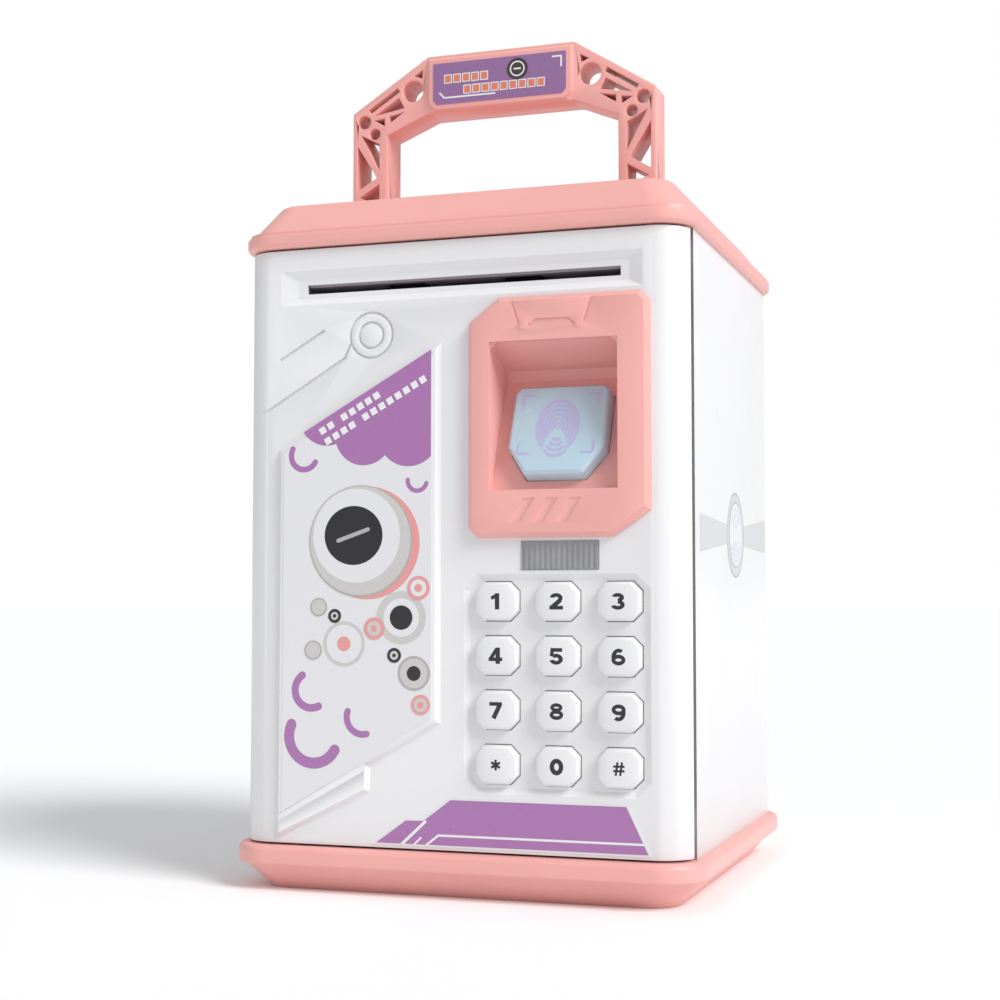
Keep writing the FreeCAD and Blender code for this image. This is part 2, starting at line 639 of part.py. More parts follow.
# ---------------------------------------------------------------- door
def make_door_panel():
    """The white front, wrapped round both corners, with the walls of the works compartment."""
    body = new_body("door_panel")
    height = "body_height - 2 * door_gap"
    wrap = new_sketch(body, "XY_Plane", door_low)
    draw_rounded(wrap, half_width, half_depth, dim.corner_round)
    draw_rounded(wrap, half_width - dim.skin, half_depth - dim.skin, dim.corner_round - dim.skin)
    pad(body, wrap, height)
    cut_prism(body, "XY_Plane", door_high, rectangle(-half_width - 1, half_width + 1, seam_y,
                                                     half_depth + 1), height)
    for bottom in (door_low, door_high - dim.knuckle_height):
        add_discs(body, "XY_Plane", bottom, [(hinge_x, hinge_y)], dim.knuckle_radius, "knuckle_height")
        web = rectangle(hinge_x - dim.knuckle_radius, hinge_x + 1, front + 1.5, hinge_y)
        add_prism(body, "XY_Plane", bottom, web, "knuckle_height")
    walls = new_sketch(body, "XZ_Plane", -front_inside + 0.5)
    draw_rectangle(walls, box_left, box_right, box_low, box_high)
    draw_rectangle(walls, box_left + dim.box_wall, box_right - dim.box_wall,
                   box_low + dim.box_wall, box_high - dim.box_wall)
    pad(body, walls, "box_depth + 0.5", True)
    cut_discs(body, "XY_Plane", door_low, [(hinge_x, hinge_y)], dim.hinge_radius + dim.running_gap,
              "knuckle_height - 4", True)
    cut_discs(body, "XY_Plane", door_high, [(hinge_x, hinge_y)], dim.hinge_radius + dim.running_gap,
              "knuckle_height - 4")
    add_discs(body, "XZ_Plane", -front_inside, raised(COVER_SCREWS, base_line), 2.6, "box_depth", True)
    cut_discs(body, "XZ_Plane", -box_back, raised(COVER_SCREWS, base_line), dim.screw_radius, "9", True)
    add_discs(body, "XZ_Plane", -front_inside, raised(BOARD_POSTS, base_line), 2.2,
              "key_flange + key_travel + membrane_thickness + 0.2", True)
    cut_discs(body, "XZ_Plane", -front_inside - 4.5, raised(BOARD_POSTS, base_line), dim.screw_radius,
              "2", True)
    # Outside relief: picture panel, slot surround, grooves and the sunk field of the keys.
    bevelled_loft(body, "AdditiveLoft", -front, raised(PANEL, base_line),
                  raised(inset(PANEL, dim.panel_bevel), base_line), dim.panel_proud)
    cut_prism(body, "XZ_Plane", -front + dim.panel_proud, raised(band(*PANEL_SEAM, 0.6), base_line),
              "panel_groove")
    surround = raised(rectangle(*SLOT_SURROUND), base_line)
    bevelled_loft(body, "SubtractiveLoft", -front, surround, raised(rectangle(*SLOT_BEVEL), base_line),
                  -SLOT_BEVEL_DEPTH)
    field = raised(FIELD, base_line)
    bevelled_loft(body, "SubtractiveLoft", -front, field, inset(field, FIELD_BEVEL), -dim.field_depth)
    seam_line = [(-63.9, 119.9), (-55.6, 120.4), (-32.4, 134.2), (-30.7, 137.8)]
    for start, end in [*zip(seam_line, seam_line[1:]), ((-51.8, 134.6), (-38.8, 142.1))]:
        cut_prism(body, "XZ_Plane", -front, raised(band(start, end, 0.8), base_line), "groove_depth")
    ring = new_sketch(body, "XZ_Plane", -front)
    for radius in (6.6, 5.9, 3.9, 3.2):
        draw_circle(ring, (-24.4, base_line + 140.3), radius)
    pocket(body, ring, "groove_depth")
    cut_prism(body, "XZ_Plane", -front + dim.panel_proud,
              raised([(-51.0, 6.6), (-25.0, 21.3), (-25.0, 23.4), (-51.0, 8.8)], base_line),
              "badge_depth + 0.1")
    # Openings through the front.
    through = "skin + 2"
    cut_prism(body, "XZ_Plane", -front, raised(rectangle(*SLOT), base_line), through)
    cut_prism(body, "XZ_Plane", -front, raised(rectangle(8.6, 48.4, 91.4, 138.6), base_line), through)
    cut_prism(body, "XZ_Plane", -front, raised(rectangle(*WINDOW), base_line), through)
    holes = new_sketch(body, "XZ_Plane", -front)
    for x in KEY_COLUMNS:
        for z in KEY_ROWS:
            draw_polygon(holes, key_outline(x, base_line + z, dim.key_gap))
    pocket(body, holes, through)
    slot_for_bolt = rectangle(bolt_y - 0.25, bolt_y + dim.bolt_depth + 0.25,
                              bolt_low - 0.25, bolt_low + dim.bolt_height + 0.25)
    cut_prism(body, "YZ_Plane", box_left - 1, slot_for_bolt, "box_wall + 1.5", True)


def key_outline(x, z, grow=0.0):
    """The octagon of one key about a centre, grown by a distance."""
    half_x = dim.key_width / 2
    half_z = dim.key_height / 2
    cut = dim.key_chamfer
    corners = [(half_x, -half_z + cut), (half_x, half_z - cut), (half_x - cut, half_z),
               (-half_x + cut, half_z),
               (-half_x, half_z - cut), (-half_x, -half_z + cut), (-half_x + cut, -half_z),
               (half_x - cut, -half_z)]
    return [(x + dx, z + dz) for dx, dz in inset(corners, -grow)]


def make_keys():
    for z, names in zip(KEY_ROWS, KEY_NAMES):
        for x, name in zip(KEY_COLUMNS, names):
            body = new_body(f"key_{name}")
            outline = key_outline(x, base_line + z)
            add_prism(body, "XZ_Plane", -front + dim.key_proud - 0.6, outline, "key_proud + skin - 0.5",
                      True)
            bevelled_loft(body, "AdditiveLoft", -front + dim.key_proud - 0.6, outline,
                          inset(outline, 0.6), 0.6)
            flange = key_outline(x, base_line + z, 0.85)
            add_prism(body, "XZ_Plane", -front_inside - 0.05, flange, "key_flange", True)


def make_key_electronics():
    """Rubber membrane, circuit board, lamps, chip and board screws behind the keys."""
    membrane = new_body("keypad_membrane")
    membrane_front = front_inside + 0.05 + dim.key_flange + dim.key_travel + 0.15
    add_prism(membrane, "XZ_Plane", -membrane_front, raised(rectangle(4.6, 54.0, 17.2, 74.0), base_line),
              "membrane_thickness", True)
    board = new_body("circuit_board")
    board_front = membrane_front + dim.membrane_thickness
    add_prism(board, "XZ_Plane", -board_front, raised(rectangle(*BOARD), base_line), "board_thickness",
              True)
    cut_discs(board, "XZ_Plane", -board_front, raised(BOARD_POSTS, base_line), dim.screw_radius,
              "board_thickness")
    board_back = board_front + dim.board_thickness
    chip = solid_box("control_chip", (20, board_back, base_line + 40),
                     (36, board_back + 1.8, base_line + 56))
    sub_part(chip, "control_chip")
    lamps = [solid_rod(f"lamp_{i}", "lamp_radius", board_front - front_inside - 0.4,
                       (x, board_front, base_line + 79.2), (0, -1, 0)) for i,
                       x in enumerate((23.0, 29.7, 36.4))]
    group("indicator_lamps", lamps)
    group("board_screws", [screw(f"board_screw_{i}", (x, board_back, base_line + z), (0, -1, 0), 3.0)
                           for i, (x, z) in enumerate(BOARD_POSTS)])
    window = new_body("indicator_window")
    low_x, high_x, low_z, high_z = WINDOW
    pane = rectangle(low_x + 0.1, high_x - 0.1, low_z + 0.1, high_z - 0.1)
    add_prism(window, "XZ_Plane", -front + 0.3, raised(pane, base_line), "skin + 0.3", True)


def make_fingerprint_bezel():
    """The pink surround and its recess: steep shelf, sloping ceiling and side walls."""
    body = new_body("fingerprint_bezel")
    outline = raised(BEZEL, base_line)
    add_prism(body, "XZ_Plane", -front, outline, "bezel_edge")
    bevelled_loft(body, "AdditiveLoft", -front + dim.bezel_edge, outline, inset(outline, 1.3),
                  dim.bezel_proud - dim.bezel_edge)
    wall = dim.recess_wall
    back = front + dim.recess_depth
    slope = shelf_rise / dim.recess_depth
    shelf_drop = wall * math.hypot(1, slope)
    tub = [(front, RECESS_BOTTOM - shelf_drop), (front, RECESS_CEILING_FRONT + wall),
           (back + wall, RECESS_CEILING_BACK + wall), (back + wall,
                                                       RECESS_SHELF_TOP + wall * slope - shelf_drop)]
    left, right = RECESS_SIDES
    width = right - left
    sketch = new_sketch(body, "YZ_Plane", left - wall)
    draw_polygon(sketch, raised(tub, base_line))
    pad(body, sketch, f"{width} + 2 * recess_wall")
    face = front - dim.bezel_proud
    hollow = [(face - 1, RECESS_BOTTOM), (front, RECESS_BOTTOM), (back, RECESS_SHELF_TOP),
              (back, RECESS_CEILING_BACK), (front, RECESS_CEILING_FRONT), (face - 1, RECESS_CEILING_FRONT)]
    sketch = new_sketch(body, "YZ_Plane", right)
    draw_polygon(sketch, raised(hollow, base_line))
    pocket(body, sketch, f"{width}")
    top = RECESS_CEILING_FRONT + 0.4
    cut = RECESS_CORNER + 0.4
    for corner_x, inwards in ((left - 0.4, 1), (right + 0.4, -1)):
        corner = [(corner_x, top), (corner_x + inwards * cut, top), (corner_x, top - cut)]
        add_prism(body, "XZ_Plane", -face - 0.7, raised(corner, base_line), "recess_depth", True)
    badge = [[(17.0, 147.4), (19.2, 140.9)], [(22.0, 140.3), (23.8, 141.7), (32.6, 141.7), (34.4, 140.3)],
             [(37.2, 140.9), (39.4, 147.4)]]
    for line in badge:
        for start, end in zip(line, line[1:]):
            cut_prism(body, "XZ_Plane", -face, raised(band(start, end, 0.5), base_line), "badge_depth")
    add_discs(body, "XZ_Plane", -face, raised([(20.5, 140.4), (35.9, 140.4)], base_line), 1.3, "badge_depth")
    for step in range(3):
        x = 16.4 + 6.4 * step
        cut_prism(body, "XZ_Plane", -face, raised([(x, 87.9), (x + 3.1, 87.9), (x + 7.2, 94.3),
                                                   (x + 4.1, 94.3)],
                                                   base_line), "badge_depth")
    cutter = doc.addObject("PartDesign::Body", "print_hole")
    hole = new_sketch(cutter, "XY_Plane", -8)
    draw_polygon(hole, inset(PRINT_OUTLINE, -0.25))
    pad(cutter, hole, "8.5")
    cutter.Placement = shelf_placement()
    sub_parts.remove(body)
    body.Label = "bezel_blank"
    sub_part(less("fingerprint_bezel", body, cutter), "fingerprint_bezel")


def shelf_placement():
    """The recess shelf as a local plane: X to the right, Y up the slope, Z out of it."""
    return Placement(Vector(RECESS_CENTRE, front, base_line + RECESS_BOTTOM),
                     Rotation(Vector(1, 0, 0), shelf_angle))


def make_fingerprint_button():
    body = new_body("fingerprint_button")
    rim = 0.8
    add_prism(body, "XY_Plane", -2.2, PRINT_OUTLINE, f"print_thickness + 2.2 - {rim}")
    lower = new_sketch(body, "XY_Plane", dim.print_thickness - rim)
    draw_polygon(lower, PRINT_OUTLINE)
    upper = new_sketch(body, "XY_Plane", dim.print_thickness)
    draw_polygon(upper, inset(PRINT_OUTLINE, rim))
    loft(body, "AdditiveLoft", lower, upper)
    add_prism(body, "XY_Plane", -3.2, inset(PRINT_OUTLINE, -1.0), "1.2")
    body.Placement = shelf_placement()
    switch = new_body("button_switch")
    add_prism(switch, "XY_Plane", -8.6, rectangle(-3, 3, 12, 18), "3.0")
    add_discs(switch, "XY_Plane", -5.6, [(0, 15)], 1.6, "0.8")
    switch.Placement = shelf_placement()


def make_door_cover():
    """The white cover that closes the works compartment towards the money."""
    body = new_body("door_inner_cover")
    plate = rectangle(box_left, box_right, box_low, box_high)
    add_prism(body, "XZ_Plane", -box_back, plate, "cover_skin", True)
    cut_discs(body, "XZ_Plane", -box_back, raised(COVER_SCREWS, base_line), dim.screw_radius + 0.2,
              "cover_skin")
    exit_slot = rectangle(SLOT[0] - 1, SLOT[1] + 1, NOTE_LEVEL - 2, NOTE_LEVEL + 2)
    cut_prism(body, "XZ_Plane", -box_back, raised(exit_slot, base_line), "cover_skin")
    grille = new_sketch(body, "XZ_Plane", -box_back)
    for step in range(-3, 4):
        half = math.sqrt(13.5 ** 2 - (4.0 * step) ** 2)
        z = base_line + SPEAKER[1] + 4.0 * step
        draw_rectangle(grille, SPEAKER[0] - half, SPEAKER[0] + half, z - 0.8, z + 0.8)
    pocket(body, grille, "cover_skin")
    seat = shelf_placement().multVec(Vector(0, 15, -8.65))
    low = shelf_placement().multVec(Vector(0, 12, -8.65))
    high = shelf_placement().multVec(Vector(0, 18, -8.65))
    stand = new_sketch(body, "YZ_Plane", RECESS_CENTRE - 3)
    draw_polygon(stand, [(box_back + 0.5, seat.z - 5), (low.y, low.z), (high.y, high.z),
                         (box_back + 0.5, seat.z + 3)])
    pad(body, stand, "6")
    group("door_screws", [screw(f"door_screw_{i}", (x, box_back + dim.cover_skin, base_line + z),
                                (0, -1, 0), 8.0)
                          for i, (x, z) in enumerate(COVER_SCREWS)])
    speaker_z = base_line + SPEAKER[1]
    cone = solid_rod("speaker_frame", "speaker_radius", 3.0, (SPEAKER[0], box_back, speaker_z), (0, -1, 0))
    magnet = solid_rod("speaker_magnet", "magnet_radius", 5.0, (SPEAKER[0], box_back - 3, speaker_z),
                       (0, -1, 0))
    sub_part(joined("speaker", [cone, magnet]), "speaker")


# ---------------------------------------------------------------- note feed and lock
def gear_outline(centre, teeth, turn):
    """A spur gear with straight-flanked teeth: pitch radius is half of module times teeth."""
    pitch = dim.gear_module * teeth / 2
    root = pitch - TOOTH_ROOT * dim.gear_module
    tip = pitch + TOOTH_TIP * dim.gear_module
    points = []
    for tooth in range(teeth):
        middle = 2 * math.pi * (tooth + 0.5) / teeth
        for radius, share in ((root, -0.26), (tip, -0.12), (tip, 0.12), (root, 0.26)):
            angle = turn + middle + share * 2 * math.pi / teeth
            points.append((centre[0] + radius * math.cos(angle), centre[1] + radius * math.sin(angle)))
    return points


def make_gear(label, role, lift, centre, teeth, bore, width, turn=0.0):
    body = new_body(label)
    sketch = new_sketch(body, role, lift)
    draw_polygon(sketch, gear_outline(centre, teeth, turn))
    draw_circle(sketch, centre, bore)
    pad(body, sketch, width)


def make_note_feed():
    """Motor, gear, rubber rollers, pinch rollers, guide and the lever that senses a note."""
    left, right = GUIDE_SPAN
    guide = new_body("note_guide")
    guide_front = front_inside + 1.0
    guide_back = box_back - 0.5
    for x, drop in ((left, 17), (right, 8)):
        add_prism(guide, "YZ_Plane", x, rectangle(guide_front, guide_back, drive_z - drop, box_high - 2.6),
                  "guide_skin + 0.5")
    for bottom in (note_z - 2.0, note_z + 0.9):
        add_prism(guide, "XY_Plane", bottom, rectangle(left, right + 1, guide_front, guide_back),
                  "guide_skin")
    for x in (FLAG_X - 4.0, FLAG_X + 3.0):
        add_prism(guide, "XY_Plane", note_z + 1.5, rectangle(x, x + 1, flag_y - 2, flag_y + 2), "5.5")
    windows = new_sketch(guide, "XY_Plane", note_z + 1.9)
    for x in ROLLER_STATIONS:
        draw_rectangle(windows, x - 6, x + 6, roller_y - 5.6, roller_y + 5.6)
    draw_rectangle(windows, FLAG_X - 2.9, FLAG_X + 2.9, roller_y - 1.5, flag_y + 5)
    pocket(guide, windows, "10")
    ear_bore = new_sketch(guide, "YZ_Plane", FLAG_X - 5)
    draw_circle(ear_bore, (flag_y, flag_z), dim.small_shaft)
    pocket(guide, ear_bore, "10", True)
    flag_pin = solid_rod("flag_pin", "small_shaft", 8.4, (FLAG_X - 4.2, flag_y, flag_z), (1, 0, 0))
    sub_part(flag_pin, "flag_pin")
    for x in (left, right):
        bores = new_sketch(guide, "YZ_Plane", x - 1)
        draw_circle(bores, (roller_y, drive_z), dim.shaft_radius + dim.running_gap)
        draw_circle(bores, (roller_y, pinch_z), dim.shaft_radius - 0.3 + dim.running_gap)
        pocket(guide, bores, "4", True)
    motor_bore = new_sketch(guide, "YZ_Plane", left - 1)
    draw_circle(motor_bore, (roller_y, motor_z), 2.5)
    pocket(guide, motor_bore, "4", True)
    drive_shaft = solid_rod("roller_shaft", "shaft_radius", right - left + 6.2,
                            (left - 4.5, roller_y, drive_z), (1, 0, 0))
    sub_part(drive_shaft, "roller_shaft")
    for label, radius, bore, z in (("drive_rollers", "drive_radius", "shaft_radius", drive_z),
                                   ("pinch_rollers", "pinch_radius", "shaft_radius - 0.3", pinch_z)):
        rollers = []
        for i, x in enumerate(ROLLER_STATIONS):
            foot = (x - ROLLER_LENGTH / 2, roller_y, z)
            tyre = solid_rod(f"{label}_tyre_{i}", radius, ROLLER_LENGTH, foot, (1, 0, 0))
            core = solid_rod(f"{label}_bore_{i}", bore, ROLLER_LENGTH, foot, (1, 0, 0))
            rollers.append(less(f"{label}_{i}", tyre, core))
        group(label, rollers)
    idle_shaft = solid_rod("pinch_shaft", "shaft_radius - 0.3", right - left + 1.9,
                           (left - 0.2, roller_y, pinch_z), (1, 0, 0))
    sub_part(idle_shaft, "pinch_shaft")
    make_gear("roller_gear", "YZ_Plane", left - 3.6, (roller_y, drive_z), ROLLER_TEETH, dim.shaft_radius,
              "gear_width")
    make_gear("feed_pinion", "YZ_Plane", left - 3.6, (roller_y, motor_z), PINION_TEETH,
              dim.small_shaft + 0.05,
              "gear_width")
    motor = solid_rod("feed_motor_can", "motor_radius", 17.0, (left + 1.7, roller_y, motor_z), (1, 0, 0))
    shaft = solid_rod("feed_motor_shaft", "small_shaft", 5.6, (left - 3.8, roller_y, motor_z), (1, 0, 0))
    sub_part(joined("feed_motor", [motor, shaft]), "feed_motor")
    flag = new_body("note_sensor_flag")
    add_prism(flag, "YZ_Plane", FLAG_X - 2.5, rectangle(flag_y - 0.7, flag_y + 0.7, note_z - 1.0,
                                                        flag_z), "5")
    add_discs(flag, "YZ_Plane", FLAG_X - 2.5, [(flag_y, flag_z)], 1.7, "5")
    bore = new_sketch(flag, "YZ_Plane", FLAG_X - 3)
    draw_circle(bore, (flag_y, flag_z), dim.small_shaft + dim.running_gap)
    pocket(flag, bore, "8", True)


def make_lock():
    """Motor, pinion and rack bolt that slides out behind the keeper of the body wall."""
    bolt = new_body("lock_bolt")
    pitch = math.pi * dim.gear_module
    back = bolt_y + dim.bolt_depth
    bar_back = back - 1.45 * dim.gear_module
    add_prism(bolt, "XY_Plane", bolt_low, rectangle(BOLT_TIP, -30.0, bolt_y, bar_back), "bolt_height")
    add_prism(bolt, "XY_Plane", bolt_low, rectangle(BOLT_TIP, -51.0, bolt_y, back), "bolt_height")
    teeth = new_sketch(bolt, "XY_Plane", bolt_low)
    for step in range(8):
        x = LOCK_X + (step - 4) * pitch
        draw_polygon(teeth, [(x - 0.26 * pitch, bar_back - 0.1), (x + 0.26 * pitch, bar_back - 0.1),
                             (x + 0.12 * pitch, back), (x - 0.12 * pitch, back)])
    pad(bolt, teeth, "bolt_height")
    make_gear("lock_pinion", "XY_Plane", bolt_low + 0.5, (LOCK_X, lock_y), PINION_TEETH,
              dim.small_shaft + 0.05,
              "bolt_height - 1", math.pi / 2)
    can = solid_box("lock_motor_can", (LOCK_X - 6, lock_y - 5, bolt_low - 26),
                    (LOCK_X + 6, lock_y + 4.6, bolt_low - 0.5))
    shaft = solid_rod("lock_motor_shaft", "small_shaft", 6.5, (LOCK_X, lock_y, bolt_low - 0.8), (0, 0, 1))
    sub_part(joined("lock_motor", [can, shaft]), "lock_motor")


# ---------------------------------------------------------------- carry handle
def make_handle():
    """A truss-shaped bail: two legs, sloping arms and a plate that carries the label."""
    body = new_body("carry_handle")
    foot = pivot_z
    right_outer = [(x, max(z, foot)) for x, z in HANDLE_OUTER]
    right_inner = [(x, max(z, foot)) for x, z in HANDLE_INNER][::-1]
    arch = right_outer + [(-x, z) for x, z in right_outer[::-1]]
    inner = [(-x, z) for x, z in right_inner[::-1]] + right_inner
    lift = -HANDLE_FRONT
    add_prism(body, "XZ_Plane", lift, arch + inner, "handle_thickness", True)
    leg_inside = HANDLE_INNER[0][0]
    for leg_start in (-dim.handle_half_width, leg_inside):
        add_discs(body, "YZ_Plane", leg_start, [(pivot_y, pivot_z)], dim.handle_thickness / 2,
                  f"handle_half_width - {leg_inside}")
    openings = new_sketch(body, "XZ_Plane", lift)
    for side in (-1, 1):
        for shape in HANDLE_OPENINGS:
            draw_polygon(openings, [(side * x, z) for x, z in shape])
        for (x, z), radius in HANDLE_ROUND_HOLES:
            draw_circle(openings, (side * x, z), radius)
    pocket(body, openings, "handle_thickness")
    plate = handle_plate()
    bevelled_loft(body, "AdditiveLoft", lift, plate, inset(plate, 0.7), dim.plate_proud)
    bore = new_sketch(body, "YZ_Plane", -dim.handle_half_width - 1)
    draw_circle(bore, (pivot_y, pivot_z), dim.handle_pin + dim.running_gap)
    pocket(body, bore, "2 * handle_half_width + 2", True)
    label = new_body("handle_label")
    add_prism(label, "XZ_Plane", lift + dim.plate_proud, inset(plate, 2.0), "sticker_thickness")


def handle_plate():
    half = 22.6
    return [(-half, 227.6), (-20.4, 225.0), (20.4, 225.0), (half, 227.6), (half, dim.handle_top - 0.8),
            (-half, dim.handle_top - 0.8)]


make_base_tray()
make_top_lid()
make_body_shell()
make_pins()
make_housing_screws()
make_battery_bay()
make_stickers()
make_door_panel()
make_keys()
make_key_electronics()
make_fingerprint_bezel()
make_fingerprint_button()
make_door_cover()
make_note_feed()
make_lock()
make_handle()
doc.recompute()

for item in doc.Objects:
    if "Invalid" in item.State or "Error" in item.State:
        raise RuntimeError(f"{item.Label} did not recompute: {item.State}")
for item in sub_parts:
    shape = item.Shape
    if shape.isNull() or not shape.isValid():
        raise RuntimeError(f"{item.Label} has no valid shape")
for item in sub_parts:
    item.Shape.exportStep(f"parts/{item.Label}.step")
    print(f"{item.Label}: {len(item.Shape.Solids)} solid(s), {item.Shape.Volume:.0f} mm3")
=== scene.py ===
import json
import math

import bmesh
import bpy
from mathutils import Matrix, Vector


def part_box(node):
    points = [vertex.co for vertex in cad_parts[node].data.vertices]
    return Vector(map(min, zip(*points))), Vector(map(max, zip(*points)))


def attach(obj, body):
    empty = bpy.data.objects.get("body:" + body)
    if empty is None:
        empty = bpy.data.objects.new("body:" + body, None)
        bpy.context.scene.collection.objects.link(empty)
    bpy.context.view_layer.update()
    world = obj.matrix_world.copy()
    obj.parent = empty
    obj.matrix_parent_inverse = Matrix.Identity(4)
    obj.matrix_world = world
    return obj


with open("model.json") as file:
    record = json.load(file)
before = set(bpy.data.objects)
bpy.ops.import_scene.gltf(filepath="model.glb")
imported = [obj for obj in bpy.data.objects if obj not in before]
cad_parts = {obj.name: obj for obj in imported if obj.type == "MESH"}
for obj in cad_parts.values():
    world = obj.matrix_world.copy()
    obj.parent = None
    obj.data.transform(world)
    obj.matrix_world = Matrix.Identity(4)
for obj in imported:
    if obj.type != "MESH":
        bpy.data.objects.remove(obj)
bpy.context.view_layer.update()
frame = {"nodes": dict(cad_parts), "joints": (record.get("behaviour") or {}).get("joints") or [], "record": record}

MM = 0.001

# ---------------------------------------------------------------- places read from the frame, in mm
BASE_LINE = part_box("base_tray")[1].z / MM
HALF_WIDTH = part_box("body_shell")[1].x / MM
FRONT = -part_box("body_shell")[1].y / MM
PANEL_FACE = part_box("door_panel")[0].y / MM
KEY_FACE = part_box("key_1")[0].y / MM
PLATE_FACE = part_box("carry_handle")[0].y / MM
# One layer of ink, the small rise from each shape of a sheet to the next, and a label less one layer.
INK = 0.03
OVERLAP = 0.003
FILM = 0.12
KEYS = {"1": "1", "2": "2", "3": "3", "4": "4", "5": "5", "6": "6", "7": "7", "8": "8", "9": "9",
        "star": "*", "0": "0", "hash": "#"}


# ---------------------------------------------------------------- materials
def new_material(name, colour, roughness, **sockets):
    """A principled material whose even values sit on its own sockets."""
    material = bpy.data.materials.new(name)
    material.use_nodes = True
    shader = material.node_tree.nodes["Principled BSDF"]
    shader.inputs["Base Color"].default_value = (*colour, 1)
    shader.inputs["Roughness"].default_value = roughness
    for socket, value in sockets.items():
        shader.inputs[socket.replace("_", " ")].default_value = value
    return material


def add_node(material, kind, **values):
    """A texture or helper node with some of its inputs set."""
    node = material.node_tree.nodes.new(kind)
    for socket, value in values.items():
        node.inputs[socket.replace("_", " ")].default_value = value
    return node


def link(material, source, target):
    material.node_tree.links.new(source, target)


def shader_of(material):
    return material.node_tree.nodes["Principled BSDF"]


def mottle(material, colour, other, scale, detail=4.0):
    """Lets the colour drift softly between two near shades."""
    coordinates = add_node(material, "ShaderNodeTexCoord")
    noise = add_node(material, "ShaderNodeTexNoise", Scale=scale, Detail=detail)
    ramp = add_node(material, "ShaderNodeValToRGB")
    ramp.color_ramp.elements[0].position = 0.3
    ramp.color_ramp.elements[1].position = 0.7
    ramp.color_ramp.elements[0].color = (*colour, 1)
    ramp.color_ramp.elements[1].color = (*other, 1)
    link(material, coordinates.outputs["Object"], noise.inputs["Vector"])
    link(material, noise.outputs["Fac"], ramp.inputs["Fac"])
    link(material, ramp.outputs["Color"], shader_of(material).inputs["Base Color"])
    return coordinates


def grain(material, coordinates, scale, strength, distance, low_rough, high_rough):
    """A fine moulded surface: tiny bumps, and gloss that varies with a broader noise."""
    fine = add_node(material, "ShaderNodeTexNoise", Scale=scale, Detail=3.0)
    bump = add_node(material, "ShaderNodeBump", Strength=strength, Distance=distance)
    broad = add_node(material, "ShaderNodeTexNoise", Scale=scale / 14, Detail=5.0)
    spread = add_node(material, "ShaderNodeMapRange", To_Min=low_rough, To_Max=high_rough)
    link(material, coordinates.outputs["Object"], fine.inputs["Vector"])
    link(material, coordinates.outputs["Object"], broad.inputs["Vector"])
    link(material, fine.outputs["Fac"], bump.inputs["Height"])
    link(material, bump.outputs["Normal"], shader_of(material).inputs["Normal"])
    link(material, broad.outputs["Fac"], spread.inputs["Value"])
    link(material, spread.outputs["Result"], shader_of(material).inputs["Roughness"])


def moulded_plastic(name, colour, roughness, drift=0.96, **sockets):
    """Glossy injection-moulded plastic with a fine orange-peel and a slight shade drift."""
    material = new_material(name, colour, roughness, **sockets)
    other = tuple(channel * drift for channel in colour)
    coordinates = mottle(material, colour, other, 28)
    grain(material, coordinates, 1400, 0.12, 0.0001, roughness - 0.06, roughness + 0.08)
    return material


def printed_film(name, colour, roughness=0.28, drift=0.94):
    """Ink under a glossy film, with a faint print screen."""
    material = new_material(name, colour, roughness, Coat_Weight=0.3, Coat_Roughness=0.12)
    coordinates = mottle(material, colour, tuple(channel * drift for channel in colour), 2600, 1.0)
    grain(material, coordinates, 500, 0.05, 0.0001, roughness - 0.05, roughness + 0.05)
    return material


def brushed_metal(name, colour, roughness):
    """Plated steel with fine lathe lines along its length."""
    material = new_material(name, colour, roughness, Metallic=1.0)
    coordinates = mottle(material, colour, tuple(channel * 0.8 for channel in colour), 90)
    wave = add_node(material, "ShaderNodeTexWave", Scale=900.0, Distortion=2.0)
    bump = add_node(material, "ShaderNodeBump", Strength=0.1, Distance=0.0001)
    link(material, coordinates.outputs["Object"], wave.inputs["Vector"])
    link(material, wave.outputs["Fac"], bump.inputs["Height"])
    link(material, bump.outputs["Normal"], shader_of(material).inputs["Normal"])
    return material


def ribbed_lens(name, colour):
    """A frosted clear lens with fine upright ribs on its face."""
    material = new_material(name, colour, 0.3, Transmission_Weight=0.55, IOR=1.49)
    coordinates = mottle(material, colour, tuple(channel * 0.88 for channel in colour), 160)
    ribs = add_node(material, "ShaderNodeTexWave", Scale=210.0, Distortion=0.0)
    bump = add_node(material, "ShaderNodeBump", Strength=0.7, Distance=0.0004)
    link(material, coordinates.outputs["Object"], ribs.inputs["Vector"])
    link(material, ribs.outputs["Fac"], bump.inputs["Height"])
    link(material, bump.outputs["Normal"], shader_of(material).inputs["Normal"])
    return material


def solder_board(name):
    """Green solder mask with lighter copper tracks under it."""
    material = new_material(name, (0.02, 0.16, 0.06), 0.35, Coat_Weight=0.4)
    coordinates = add_node(material, "ShaderNodeTexCoord")
    cells = add_node(material, "ShaderNodeTexBrick", Scale=140.0, Mortar_Size=0.035)
    cells.inputs["Color1"].default_value = (0.015, 0.14, 0.05, 1)
    cells.inputs["Color2"].default_value = (0.02, 0.17, 0.06, 1)
    cells.inputs["Mortar"].default_value = (0.06, 0.30, 0.12, 1)
    turn = add_node(material, "ShaderNodeMapping", Rotation=(math.pi / 2, 0, 0))
    link(material, coordinates.outputs["Object"], turn.inputs["Vector"])
    link(material, turn.outputs["Vector"], cells.inputs["Vector"])
    link(material, cells.outputs["Color"], shader_of(material).inputs["Base Color"])
    return material


PINK = (0.87, 0.42, 0.385)
WHITE = (0.80, 0.80, 0.81)
PURPLE = (0.40, 0.17, 0.42)

